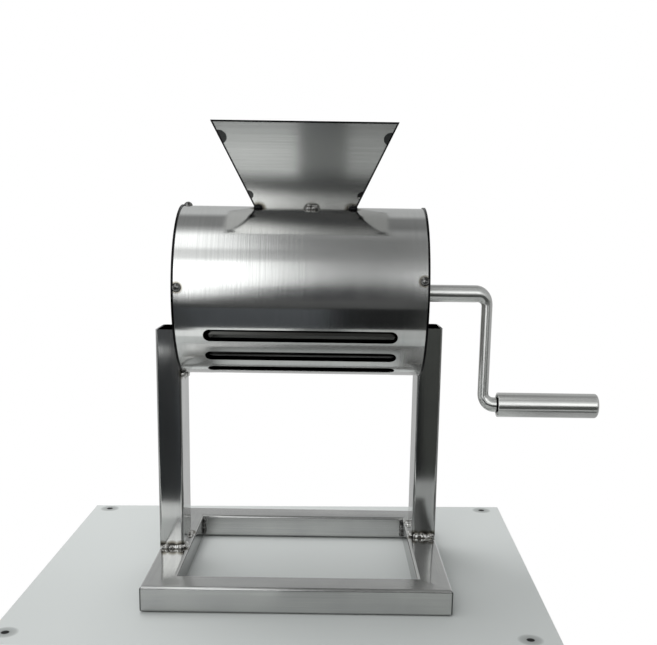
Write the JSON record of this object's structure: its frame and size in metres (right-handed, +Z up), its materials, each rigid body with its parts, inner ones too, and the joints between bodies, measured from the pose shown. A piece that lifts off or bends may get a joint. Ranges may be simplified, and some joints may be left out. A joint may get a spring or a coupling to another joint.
{
  "type": "hand-cranked peanut sheller",
  "caption": "Stainless peanut sheller: a slotted drum with a funnel hopper on two tube uprights over an open base, and a side crank that turns the rubbing bars inside.",
  "frame": {"origin": "on the table under the middle of the whole outline, crank included", "axes": "+X along the drum axis towards the crank, +Y from the front of the base to its back, +Z up"},
  "size_m": [0.4436, 0.248, 0.4407],
  "materials": {
    "tube_steel": "satin",
    "drum_sheet": "brushed",
    "plate_sheet": "brushed",
    "hopper_sheet": "brushed",
    "weld_metal": "heat tinted",
    "crank_steel": "satin",
    "rotor_steel": "satin",
    "screw_steel": "plain",
    "bearing_bronze": "turned",
    "bearing_nylon": "matt"
  },
  "bodies": {
    "frame": {"front_rail": "tube_steel", "rear_rail": "tube_steel", "left_rail": "tube_steel", "right_rail": "tube_steel", "base_corner_welds": "weld_metal", "left_upright": "tube_steel", "right_upright": "tube_steel", "upright_foot_welds": "weld_metal", "drum_shell": "drum_sheet", "left_end_plate": "plate_sheet", "right_end_plate": "plate_sheet", "drum_tack_welds": "weld_metal", "drum_upright_welds": "weld_metal", "hopper_front_panel": "hopper_sheet", "hopper_rear_panel": "hopper_sheet", "hopper_left_panel": "hopper_sheet", "hopper_right_panel": "hopper_sheet", "hopper_seam_tacks": "weld_metal", "hopper_foot_welds": "weld_metal", "left_bush": "bearing_bronze", "right_bush": "bearing_bronze"},
    "rotor": {"crank_shaft": "crank_steel", "rotor_tube": "rotor_steel", "left_spider": "rotor_steel", "right_spider": "rotor_steel", "rubbing_bars": "rotor_steel", "left_collar": "rotor_steel", "right_collar": "rotor_steel", "collar_screws": "screw_steel", "grip_stop_ring": "crank_steel", "grip_washer": "crank_steel", "grip_screw": "screw_steel"},
    "grip": {"grip_sleeve": "crank_steel", "grip_inner_bush": "bearing_nylon", "grip_outer_bush": "bearing_nylon", "grip_end_cap": "crank_steel"}
  },
  "joints": [
    {"name": "crank_turn", "type": "hinge", "parent": "frame", "child": "rotor", "pos_m": [-0.07875, 0.01, 0.285], "axis": [1, 0, 0], "continuous": true},
    {"name": "grip_spin", "type": "hinge", "parent": "rotor", "child": "grip", "pos_m": [0.17175, 0.01, 0.173], "axis": [1, 0, 0], "continuous": true}
  ]
}
